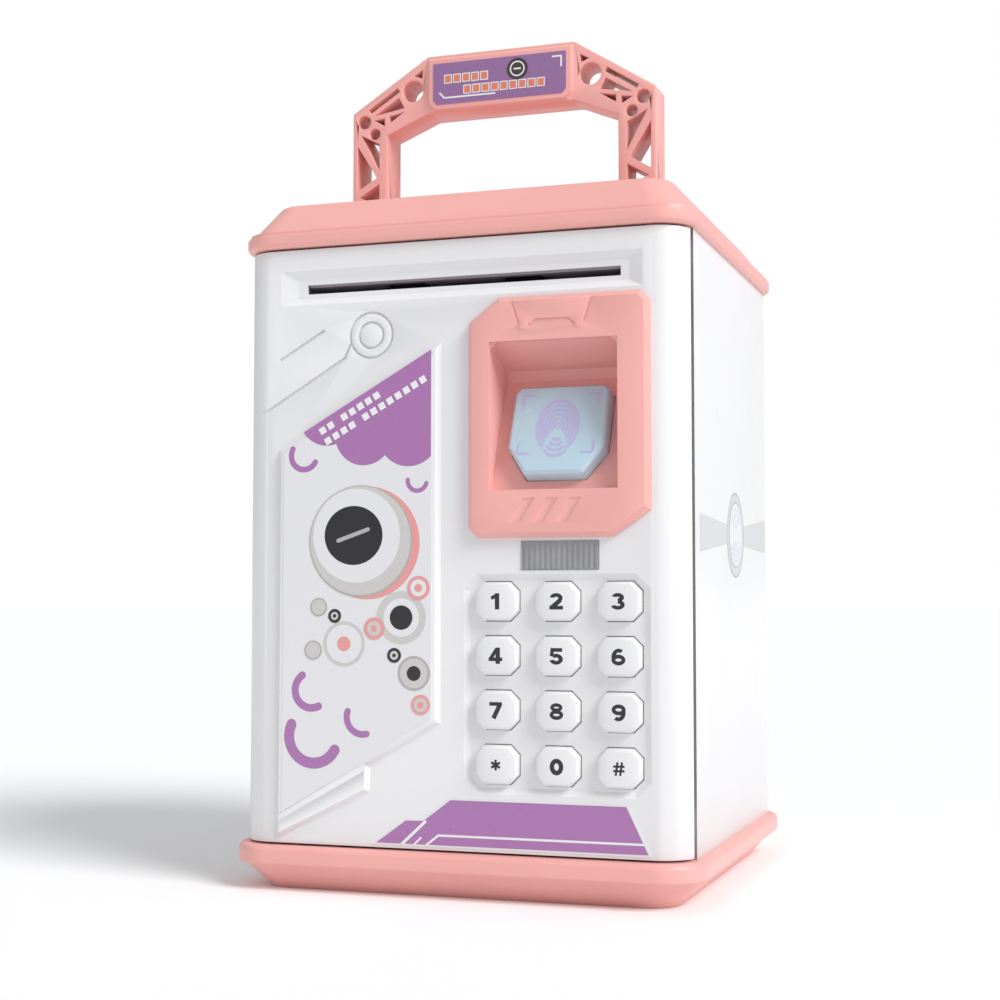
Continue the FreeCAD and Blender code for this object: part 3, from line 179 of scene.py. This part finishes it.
materials = {
    "pink_plastic": moulded_plastic("pink_plastic", PINK, 0.36, Subsurface_Weight=0.06,
                                    Subsurface_Scale=0.002),
    "white_plastic": moulded_plastic("white_plastic", WHITE, 0.30, drift=0.985),
    "key_plastic": moulded_plastic("key_plastic", (0.80, 0.80, 0.81), 0.34, drift=0.985),
    "steel": brushed_metal("steel", (0.55, 0.55, 0.57), 0.28),
    "motor_steel": brushed_metal("motor_steel", (0.60, 0.60, 0.62), 0.36),
    "cell_wrap": printed_film("cell_wrap", (0.03, 0.11, 0.08)),
    "grey_print": printed_film("grey_print", (0.68, 0.68, 0.70)),
    "purple_print": printed_film("purple_print", PURPLE),
    "grey_rubber": moulded_plastic("grey_rubber", (0.17, 0.18, 0.19), 0.7),
    "black_rubber": moulded_plastic("black_rubber", (0.012, 0.012, 0.013), 0.62),
    "grey_plastic": moulded_plastic("grey_plastic", (0.46, 0.41, 0.43), 0.55),
    "black_plastic": moulded_plastic("black_plastic", (0.02, 0.02, 0.022), 0.45),
    "gear_plastic": moulded_plastic("gear_plastic", (0.72, 0.70, 0.62), 0.42),
    "lamp_resin": moulded_plastic("lamp_resin", (0.75, 0.82, 0.72), 0.2, Transmission_Weight=0.6),
    "clear_plastic": ribbed_lens("clear_plastic", (0.66, 0.67, 0.69)),
    "blue_translucent": moulded_plastic("blue_translucent", (0.52, 0.68, 0.78), 0.24, Transmission_Weight=0.1,
                                        Subsurface_Weight=0.3, Subsurface_Scale=0.003),
    "board_laminate": solder_board("board_laminate"),
}
inks = {
    "film": printed_film("ink_film", (0.76, 0.76, 0.78), 0.3, 0.99),
    "white": printed_film("ink_white", (0.82, 0.82, 0.84), 0.3, 0.98),
    "purple": printed_film("ink_purple", PURPLE),
    "lilac": printed_film("ink_lilac", (0.50, 0.44, 0.70), 0.35),
    "plate_purple": printed_film("ink_plate_purple", (0.29, 0.15, 0.34)),
    "pink": printed_film("ink_pink", (0.80, 0.33, 0.32)),
    "shade": printed_film("ink_shade", (0.45, 0.42, 0.42)),
    "pale": printed_film("ink_pale", (0.60, 0.59, 0.57)),
    "dark": printed_film("ink_dark", (0.012, 0.012, 0.014), 0.22),
    "grey": printed_film("ink_grey", (0.60, 0.60, 0.61)),
    "grey_edge": printed_film("ink_grey_edge", (0.44, 0.44, 0.46)),
    "faint": printed_film("ink_faint", (0.70, 0.70, 0.78)),
    "orange": printed_film("ink_orange", (0.72, 0.22, 0.14)),
    "brown": printed_film("ink_brown", (0.05, 0.035, 0.035)),
    "black": printed_film("ink_black", (0.012, 0.012, 0.012), 0.4),
}

for part in frame["record"]["subparts"]:
    node = frame["nodes"][part["node"]]
    node.data.materials.clear()
    node.data.materials.append(materials[part["material_slot"]])
for label in ("door_sticker", "lower_sticker"):
    frame["nodes"][label].data.materials[0] = inks["film"]
frame["nodes"]["handle_label"].data.materials[0] = inks["plate_purple"]


# ---------------------------------------------------------------- softened edges of the moulded pieces
def soften(names, width, segments=2, least_angle=32):
    """A small round on every sharp edge, as a mould leaves it."""
    for name in names:
        piece = frame["nodes"][name]
        for face in piece.data.polygons:
            face.use_smooth = True
        weld = piece.modifiers.new("weld", "WELD")
        weld.merge_threshold = 0.002 * MM
        bevel = piece.modifiers.new("edge_round", "BEVEL")
        bevel.width = width * MM
        bevel.segments = segments
        bevel.limit_method = "ANGLE"
        bevel.angle_limit = math.radians(least_angle)
        bevel.harden_normals = True


key_nodes = [f"key_{name}" for name in KEYS]
soften(["body_shell", "top_lid", "base_tray"], 0.25)
soften(["door_panel", "fingerprint_bezel"], 0.16, least_angle=13)
soften(["carry_handle"], 0.2)
soften(key_nodes, 0.12)
soften(["fingerprint_button"], 0.25)


# ---------------------------------------------------------------- flat printed shapes
class Ring(list):
    """An outer loop and the loops of its holes."""


def upright(face, side="front"):
    """A drawing plane in mm whose x runs to the right and y up, on the front or a side wall."""
    columns = {"front": ((1, 0, 0), (0, 0, 1), (0, -1, 0)),
               "right": ((0, 1, 0), (0, 0, 1), (1, 0, 0)),
               "left": ((0, -1, 0), (0, 0, 1), (-1, 0, 0))}[side]
    place = Matrix(columns).transposed().to_4x4()
    place.translation = Vector(columns[2]) * abs(face) + Vector((0, 0, BASE_LINE))
    return place


def filled(loops):
    """A thin filled sheet in mm: the first loop is its edge and any others are holes."""
    curve = bpy.data.curves.new("shape", "CURVE")
    curve.dimensions = "2D"
    curve.fill_mode = "BOTH"
    curve.extrude = INK / 2
    for loop in loops:
        spline = curve.splines.new("POLY")
        spline.points.add(len(loop) - 1)
        for point, (x, y) in zip(spline.points, loop):
            point.co = (x, y, 0, 1)
        spline.use_cyclic_u = True
    drawing = bpy.data.objects.new("shape", curve)
    mesh = bpy.data.meshes.new_from_object(drawing)
    bpy.data.objects.remove(drawing)
    return mesh


def lay_print(name, shapes, place, lift, ink, body):
    """Shapes in mm, loops or rings, laid on a drawing plane as one sheet of ink that rides on a body."""
    sheet = bmesh.new()
    for number, shape in enumerate(shapes):
        flat = filled(shape if isinstance(shape, Ring) else [shape])
        flat.transform(Matrix.Translation((0, 0, number * OVERLAP)))
        sheet.from_mesh(flat)
    mesh = bpy.data.meshes.new(name)
    sheet.to_mesh(mesh)
    sheet.free()
    mesh.transform(Matrix.Scale(MM, 4) @ place @ Matrix.Translation((0, 0, lift + INK / 2)))
    mesh.materials.append(inks[ink])
    piece = bpy.data.objects.new(name, mesh)
    bpy.context.scene.collection.objects.link(piece)
    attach(piece, body)
    return piece


def circle(centre, radius, tall=1.0, steps=64):
    """A closed round or oval loop."""
    turns = [2 * math.pi * step / steps for step in range(steps)]
    return [(centre[0] + radius * math.cos(turn), centre[1] + radius * tall * math.sin(turn))
            for turn in turns]


def arc(centre, radius, start, end, steps=20, tall=1.0):
    """Points along an arc, with angles in degrees."""
    points = []
    for step in range(steps + 1):
        turn = math.radians(start + (end - start) * step / steps)
        points.append((centre[0] + radius * math.cos(turn), centre[1] + radius * tall * math.sin(turn)))
    return points


def arc_through(first, middle, last, steps=16):
    """The circular arc from the first point over the middle one to the last."""
    (ax, ay), (bx, by), (cx, cy) = first, middle, last
    area = 2 * (ax * (by - cy) + bx * (cy - ay) + cx * (ay - by))
    a2, b2, c2 = ax * ax + ay * ay, bx * bx + by * by, cx * cx + cy * cy
    centre = ((a2 * (by - cy) + b2 * (cy - ay) + c2 * (ay - by)) / area,
              (a2 * (cx - bx) + b2 * (ax - cx) + c2 * (bx - ax)) / area)
    radius = math.dist(centre, first)
    angles = [math.degrees(math.atan2(y - centre[1], x - centre[0])) for x, y in (first, middle, last)]
    sweep = (angles[2] - angles[0]) % 360
    if (angles[1] - angles[0]) % 360 > sweep:
        sweep -= 360
    return arc(centre, radius, angles[0], angles[0] + sweep, steps)


def stroke(points, width):
    """The closed outline of a line with round ends, drawn along the points."""
    half = width / 2
    sides = ([], [])
    for i, (x, y) in enumerate(points):
        before = points[max(i - 1, 0)]
        after = points[min(i + 1, len(points) - 1)]
        along = math.atan2(after[1] - before[1], after[0] - before[0])
        for side, way in zip(sides, (1, -1)):
            side.append((x - way * half * math.sin(along), y + way * half * math.cos(along)))
    first_turn = math.degrees(math.atan2(points[1][1] - points[0][1], points[1][0] - points[0][0]))
    last_turn = math.degrees(math.atan2(points[-1][1] - points[-2][1], points[-1][0] - points[-2][0]))
    far_cap = arc(points[-1], half, last_turn + 90, last_turn - 90, 8)
    near_cap = arc(points[0], half, first_turn - 90, first_turn - 270, 8)
    return sides[0][:-1] + far_cap + sides[1][-2:0:-1] + near_cap


def bar(start, end, width):
    """A straight line with square ends."""
    along = math.atan2(end[1] - start[1], end[0] - start[0])
    dx, dy = -math.sin(along) * width / 2, math.cos(along) * width / 2
    return [(start[0] + dx, start[1] + dy), (end[0] + dx, end[1] + dy), (end[0] - dx, end[1] - dy),
            (start[0] - dx, start[1] - dy)]


def leaning_block(centre, width, height, angle):
    """A small rectangle turned by an angle in degrees."""
    reach = width / 2
    turn = math.radians(angle)
    start = (centre[0] - reach * math.cos(turn), centre[1] - reach * math.sin(turn))
    end = (centre[0] + reach * math.cos(turn), centre[1] + reach * math.sin(turn))
    return bar(start, end, height)


# ---------------------------------------------------------------- picture on the raised panel
def draw_door_picture():
    """A purple cloud with rows of white blocks, purple crescents, and a cluster of toy coins."""
    place = upright(PANEL_FACE)
    film = FILM + INK

    def ink(name, loops, colour, layer=0):
        lay_print(f"door_print_{name}", loops, place, film + layer * INK, colour, "door")

    tip, corner = (-43.9, 113.8), (-6.1, 135.2)
    cloud = [corner, tip]
    cloud += arc_through(tip, (-39.6, 110.4), (-34.0, 110.3))[1:]
    cloud += arc_through((-34.0, 110.3), (-27.2, 104.3), (-19.5, 106.8))[1:]
    cloud += arc_through((-19.5, 106.8), (-13.2, 103.6), (-6.1, 106.2))[1:]
    ink("cloud", [cloud], "purple")
    lean = math.degrees(math.atan2(corner[1] - tip[1], corner[0] - tip[0]))
    slope = (math.cos(math.radians(lean)), math.sin(math.radians(lean)))
    blocks = []
    for below, words in ((2.6, (2, 5)), (5.9, (4, 8))):
        along = 5.2
        for count in words:
            for _ in range(count):
                centre = (tip[0] + along * slope[0] + below * slope[1],
                          tip[1] + along * slope[1] - below * slope[0])
                blocks.append(leaning_block(centre, 1.9, 1.9, lean))
                along += 2.75
            along += 1.9
    ink("blocks", blocks, "white", 1)
    # Each crescent: its first end, a point on the way, its last end, and its width.
    crescents = [((-47.1, 109.2), (-45.6, 103.9), (-40.3, 105.4), 1.6),
                 ((-12.8, 99.9), (-10.3, 96.9), (-7.4, 98.9), 1.2),
                 ((-43.8, 46.7), (-45.2, 40.0), (-38.9, 38.3), 2.1),
                 ((-30.2, 37.1), (-29.3, 32.5), (-24.6, 31.1), 1.8),
                 ((-47.0, 33.2), (-42.9, 23.2), (-34.0, 26.5), 3.0)]
    ink("crescents", [stroke(arc_through(*points[:3]), points[3]) for points in crescents], "purple")

    # The big coin: a pink edge behind a pale face, a ring, and a dark dial with a slot.
    big = (-26.3, 83.4)
    ink("coin_edge", [circle((big[0] + 1.6, big[1] - 0.5), 15.4)], "pink")
    ink("coin_rim", [circle((big[0] - 0.4, big[1]), 15.3)], "shade", 1)
    ink("coin_face", [circle((big[0] - 0.5, big[1] + 0.2), 14.9)], "pale", 2)
    ink("coin_light", [circle((big[0] - 1.6, big[1] + 1.5), 12.9)], "film", 3)
    ink("coin_dial", [circle((big[0] - 2.4, big[1] + 1.6), 8.6, 0.94)], "dark", 4)
    slot_ends = [(big[0] - 6.9, big[1] + 0.2), (big[0] + 1.9, big[1] + 3.2)]
    ink("coin_slot", [stroke(slot_ends, 1.1)], "grey_edge", 5)
    # Each small coin: its centre, then the radius and ink of each disc from the widest inwards.
    small = [((-14.6, 62.6), 7.2, "pale", 5.2, "film", 3.3, "dark"),
             ((-31.4, 55.4), 6.2, "pale", 5.2, "film", 2.0, "pink"),
             ((-10.9, 47.6), 4.7, "shade", 4.0, "pale", 2.0, "dark"),
             ((-9.6, 70.6), 3.2, "pink", 2.3, "film", 1.1, "pink"),
             ((-22.5, 59.6), 3.0, "pink", 2.0, "pale", 0.9, "pink"),
             ((-39.0, 65.4), 2.5, "shade", 2.1, "pale", 0.8, "grey"),
             ((-40.6, 53.6), 2.6, "shade", 2.2, "pale", 0.9, "grey"),
             ((-8.9, 39.2), 2.7, "pink", 1.9, "pale", 0.9, "pink"),
             ((-34.2, 63.0), 1.9, "dark", 1.1, "pale", 0.5, "dark"),
             ((-16.6, 52.4), 2.0, "dark", 1.2, "pale", 0.5, "dark")]
    for number, (centre, *rings) in enumerate(small):
        # The smallest coins lie on top of the larger ones.
        first = 0 if rings[0] > 3.5 else 3
        for layer, (radius, colour) in enumerate(zip(rings[::2], rings[1::2])):
            ink(f"small_coin_{number}_{layer}", [circle(centre, radius, steps=40)], colour, first + layer)


def draw_foot_print():
    """The purple shape on the white label at the foot of the door, and the white lines across it."""
    place = upright(FRONT)
    shape = [(-22.3, 1.9), (-13.7, 8.1), (-8.6, 8.2), (-0.9, 14.0), (47.5, 14.0), (53.3, 1.9)]
    lay_print("foot_print", [shape], place, FILM + INK, "purple", "door")
    lines = [bar((-14.9, 1.7), (-7.9, 8.2), 0.8), bar((-11.4, 1.7), (-9.2, 3.8), 0.5),
             bar((-7.9, 1.7), (-4.2, 4.6), 0.6), bar((-4.4, 4.5), (52.4, 4.5), 0.6)]
    lay_print("foot_print_lines", lines, place, FILM + 2 * INK, "white", "door")


# ---------------------------------------------------------------- labels on both side walls
def draw_side_labels():
    """A round grey badge with a white centre and faint ridge lines."""
    middle = (2.3, 86.3)
    for side, way in (("right", 1), ("left", -1)):
        place = upright(HALF_WIDTH, side)

        def ink(name, loops, colour, layer):
            turned = [Ring([[(way * x, y) for x, y in loop] for loop in shape]) if isinstance(shape, Ring)
                      else [(way * x, y) for x, y in shape] for shape in loops]
            lay_print(f"side_print_{side}_{name}", turned, place, FILM + layer * INK, colour, "housing")

        ink("ring", [Ring([circle(middle, 12.4), circle(middle, 11.9)])], "grey_edge", 1)
        ink("centre_edge", [circle(middle, 9.6)], "grey_edge", 2)
        ink("centre", [circle(middle, 9.2)], "white", 3)
        ridges = [stroke(arc(middle, radius, 25 + 9 * step, 155 - 6 * step, 18), 0.55)
                  for step, radius in enumerate((7.6, 6.0, 4.4, 2.8))]
        ridges += [stroke(arc(middle, radius, 205 + 6 * step, 330 - 9 * step, 18), 0.55)
                   for step, radius in enumerate((7.6, 6.0, 4.4, 2.8))]
        ink("ridges", ridges, "faint", 4)


# ---------------------------------------------------------------- fingertip button
def draw_fingertip_print():
    """Lilac ridge lines of a fingertip and four corner marks, on the sloping button face."""
    press = next(joint for joint in frame["joints"] if joint["name"] == "print_press")
    outward = -Vector(press["axis"]).normalized()
    button = frame["nodes"]["fingerprint_button"].data.vertices
    top = max(vertex.co.dot(outward) for vertex in button) / MM
    face = [vertex.co / MM for vertex in button if vertex.co.dot(outward) / MM > top - 0.02]
    across = Vector((1, 0, 0))
    up_slope = outward.cross(across)
    middle = sum(face, Vector()) / len(face)
    low = min(point.dot(up_slope) for point in face)
    high = max(point.dot(up_slope) for point in face)
    place = Matrix((across, up_slope, outward)).transposed().to_4x4()
    centre_x = (min(point.x for point in face) + max(point.x for point in face)) / 2
    along = (low + high) / 2 - middle.dot(up_slope)
    origin = middle + up_slope * along
    origin.x = centre_x
    place.translation = origin
    ridges = []
    for step, radius in enumerate((0.7, 1.7, 2.7, 3.7, 4.7, 5.7)):
        ridges.append(stroke(arc((0, 0.6), radius, -24 - 6 * step, 204 + 5 * step, 26, 1.35), 0.72))
    for radius in (1.4, 2.5, 3.6, 4.7):
        ridges.append(stroke(arc((0, -1.4), radius, 234, 306, 10, 1.45), 0.72))
    corners = []
    for way in (-1, 1):
        for y, down in ((10.2, -1), (-7.4, 1)):
            corners.append(bar((way * 10.6, y), (way * 7.2, y), 0.55))
            corners.append(bar((way * 10.4, y), (way * 10.4, y + down * 3.2), 0.55))
    lay_print("fingertip_ridges", ridges, place, 0, "lilac", "print_button")
    lay_print("fingertip_corners", corners, place, 0, "lilac", "print_button")


# ---------------------------------------------------------------- digits on the keys
def bowl(centre, half_width, half_height, start, end, heavy=1.15, light=0.95):
    """An open part of an oval, heavier at its sides than at its top and foot."""
    inner_width = half_width - heavy
    outer = arc(centre, half_width, start, end, 20, half_height / half_width)
    inner = arc(centre, inner_width, start, end, 20, (half_height - light) / inner_width)
    return outer + inner[::-1]


def oval(centre, half_width, half_height, weight):
    """An upright oval ring."""
    inner_tall = (half_height - weight) / (half_width - weight)
    return Ring([circle(centre, half_width, half_height / half_width, 40),
                 circle(centre, half_width - weight, inner_tall, 40)])


def digit_shapes(character):
    """Wide heavy digits about their centre, 4.3 mm high, drawn with bars, ovals and bowls."""
    heavy, light = 1.2, 0.95
    edge, top = 1.85, 2.15
    high = top - light / 2
    low = -high
    six = [oval((0, -0.78), edge, 1.4, 1.0), bowl((0.05, 0), edge + 0.05, top, 52, 192)]
    shapes = {
        "0": [oval((0, 0), edge, top, heavy)],
        "1": [bar((0.4, -top), (0.4, top), heavy), bar((0.6, 1.75), (-1.25, 0.8), light)],
        "2": [bowl((0, 0.85), edge - 0.1, 1.3, 172, -40), bar((1.15, 0.35), (-1.25, low), heavy),
              bar((-edge, low), (edge, low), light)],
        "3": [bowl((-0.1, 1.0), edge - 0.2, 1.15, 165, -90), bowl((-0.1, -0.92), edge, 1.25, 90, -168)],
        "4": [bar((0.6, -top), (0.6, top), heavy), bar((-edge - 0.1, -0.95), (edge, -0.95), light),
              bar((0.35, 1.85), (-1.5, -0.95), light)],
        "5": [bar((-1.3, high), (1.6, high), light), bar((-1.05, top), (-1.3, 0.0), light),
              bowl((-0.05, -0.75), edge, 1.42, 138, -166)],
        "6": six,
        "7": [bar((-edge + 0.1, high), (edge - 0.1, high), light), bar((1.3, 1.75), (-0.6, -top), heavy)],
        "8": [oval((0, 1.05), 1.65, 1.12, 0.9), oval((0, -0.88), edge, 1.28, 0.95)],
        "9": [Ring([[(-x, -y) for x, y in loop] for loop in six[0]]), [(-x, -y) for x, y in six[1]]],
        "*": [bar((-1.4 * math.cos(turn), -1.4 * math.sin(turn)),
                  (1.4 * math.cos(turn), 1.4 * math.sin(turn)), 0.65)
              for turn in (math.pi / 2, math.pi / 6, -math.pi / 6)],
        "#": [bar((x - 0.25, -1.75), (x + 0.25, 1.75), 0.55) for x in (-0.6, 0.6)]
             + [bar((-1.5, y), (1.5, y), 0.55) for y in (-0.55, 0.6)],
    }
    return shapes[character]


def print_digit(name, character):
    """The black digit on the face of one key."""
    key_low, key_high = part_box(f"key_{name}")
    centre = (key_low + key_high) / (2 * MM)
    place = upright(KEY_FACE)
    place.translation = Vector((centre.x, KEY_FACE, centre.z))
    lay_print(f"digit_{name}", digit_shapes(character), place, 0, "black", f"key_{name}_body")


# ---------------------------------------------------------------- label on the handle
def draw_handle_label():
    """White corner lines, two rows of orange blocks edged in white, and a dark coin."""
    label_low, label_high = (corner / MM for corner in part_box("handle_label"))
    place = upright(PLATE_FACE)
    place.translation = Vector((0, label_low.y, 0))

    def ink(name, loops, colour, layer):
        lay_print(f"handle_print_{name}", loops, place, layer * INK, colour, "handle")

    low, high = label_low.z, label_high.z
    ink("lines", [bar((-18.6, low + 3.6), (-17.1, low + 1.9), 0.5),
                  bar((-17.2, low + 1.9), (-1.0, low + 1.9), 0.5),
                  bar((16.4, high - 1.4), (19.4, high - 1.4), 0.5),
                  bar((19.2, high - 1.4), (19.2, high - 4.6), 0.5)],
        "white", 0)
    for row, (start, count, level) in enumerate(((-15.9, 5, high - 4.9), (-9.8, 9, low + 3.9))):
        centres = [(start + 2.85 * step, level) for step in range(count)]
        ink(f"block_edges_{row}", [leaning_block(centre, 2.5, 2.7, 0) for centre in centres], "white", 1)
        ink(f"blocks_{row}", [leaning_block(centre, 1.9, 2.1, 0) for centre in centres], "orange", 2)
    coin = (5.8, high - 3.9)
    ink("coin", [circle(coin, 3.2)], "brown", 3)
    ink("coin_ring", [Ring([circle(coin, 2.3), circle(coin, 1.9)])], "white", 4)
    ink("coin_slot", [stroke([(coin[0] - 0.9, coin[1]), (coin[0] + 0.9, coin[1])], 0.5)], "white", 4)


draw_door_picture()
draw_foot_print()
draw_side_labels()
draw_fingertip_print()
for key_name, character in KEYS.items():
    print_digit(key_name, character)
draw_handle_label()


# ---------------------------------------------------------------- floor, light and camera
SURROUND = 0.585
BROAD_LIGHT = 2.35
LIGHT_FROM = (0.72, -0.30, 0.63)


def lay_floor():
    """A wide plain pale floor."""
    mesh = bpy.data.meshes.new("floor")
    rim = [(30 * math.cos(turn), 30 * math.sin(turn), 0)
           for turn in (2 * math.pi * step / 48 for step in range(48))]
    mesh.from_pydata(rim, [], [tuple(range(48))])
    material = new_material("pale_floor", (0.96, 0.96, 0.96), 1.0, Specular_IOR_Level=0.0)
    mottle(material, (0.96, 0.96, 0.96), (0.95, 0.95, 0.95), 3.0)
    mesh.materials.append(material)
    floor = bpy.data.objects.new("floor", mesh)
    bpy.context.scene.collection.objects.link(floor)


def set_studio():
    """An even white surround, and a broad soft light from above and the right."""
    world = bpy.data.worlds.new("studio")
    world.use_nodes = True
    nodes = world.node_tree.nodes
    lights = world.node_tree.links
    backdrop = nodes["Background"]
    backdrop.inputs["Color"].default_value = (1, 1, 1, 1)
    surround = nodes.new("ShaderNodeBackground")
    surround.inputs["Color"].default_value = (0.97, 0.98, 1.0, 1)
    surround.inputs["Strength"].default_value = SURROUND
    direct = nodes.new("ShaderNodeLightPath")
    choice = nodes.new("ShaderNodeMixShader")
    lights.new(direct.outputs["Is Camera Ray"], choice.inputs["Fac"])
    lights.new(surround.outputs["Background"], choice.inputs[1])
    lights.new(backdrop.outputs["Background"], choice.inputs[2])
    lights.new(choice.outputs["Shader"], nodes["World Output"].inputs["Surface"])
    bpy.context.scene.world = world
    broad = bpy.data.lights.new("broad_light", "SUN")
    broad.energy = BROAD_LIGHT
    broad.angle = math.radians(28)
    lamp = bpy.data.objects.new("broad_light", broad)
    lamp.rotation_euler = Vector(LIGHT_FROM).to_track_quat("Z", "Y").to_euler()
    bpy.context.scene.collection.objects.link(lamp)
    bpy.context.scene.view_settings.view_transform = "Standard"


def set_camera():
    """The camera stands low at the right of the front, looking slightly up."""
    camera = bpy.data.cameras.new("camera")
    camera.sensor_width = 36
    camera.lens = 62.11
    holder = bpy.data.objects.new("camera", camera)
    holder.location = (0.16074, -0.49743, 0.0795)
    holder.rotation_euler = (math.radians(90 + 3.36), 0, math.radians(18.72))
    bpy.context.scene.collection.objects.link(holder)
    bpy.context.scene.camera = holder


lay_floor()
set_studio()
set_camera()
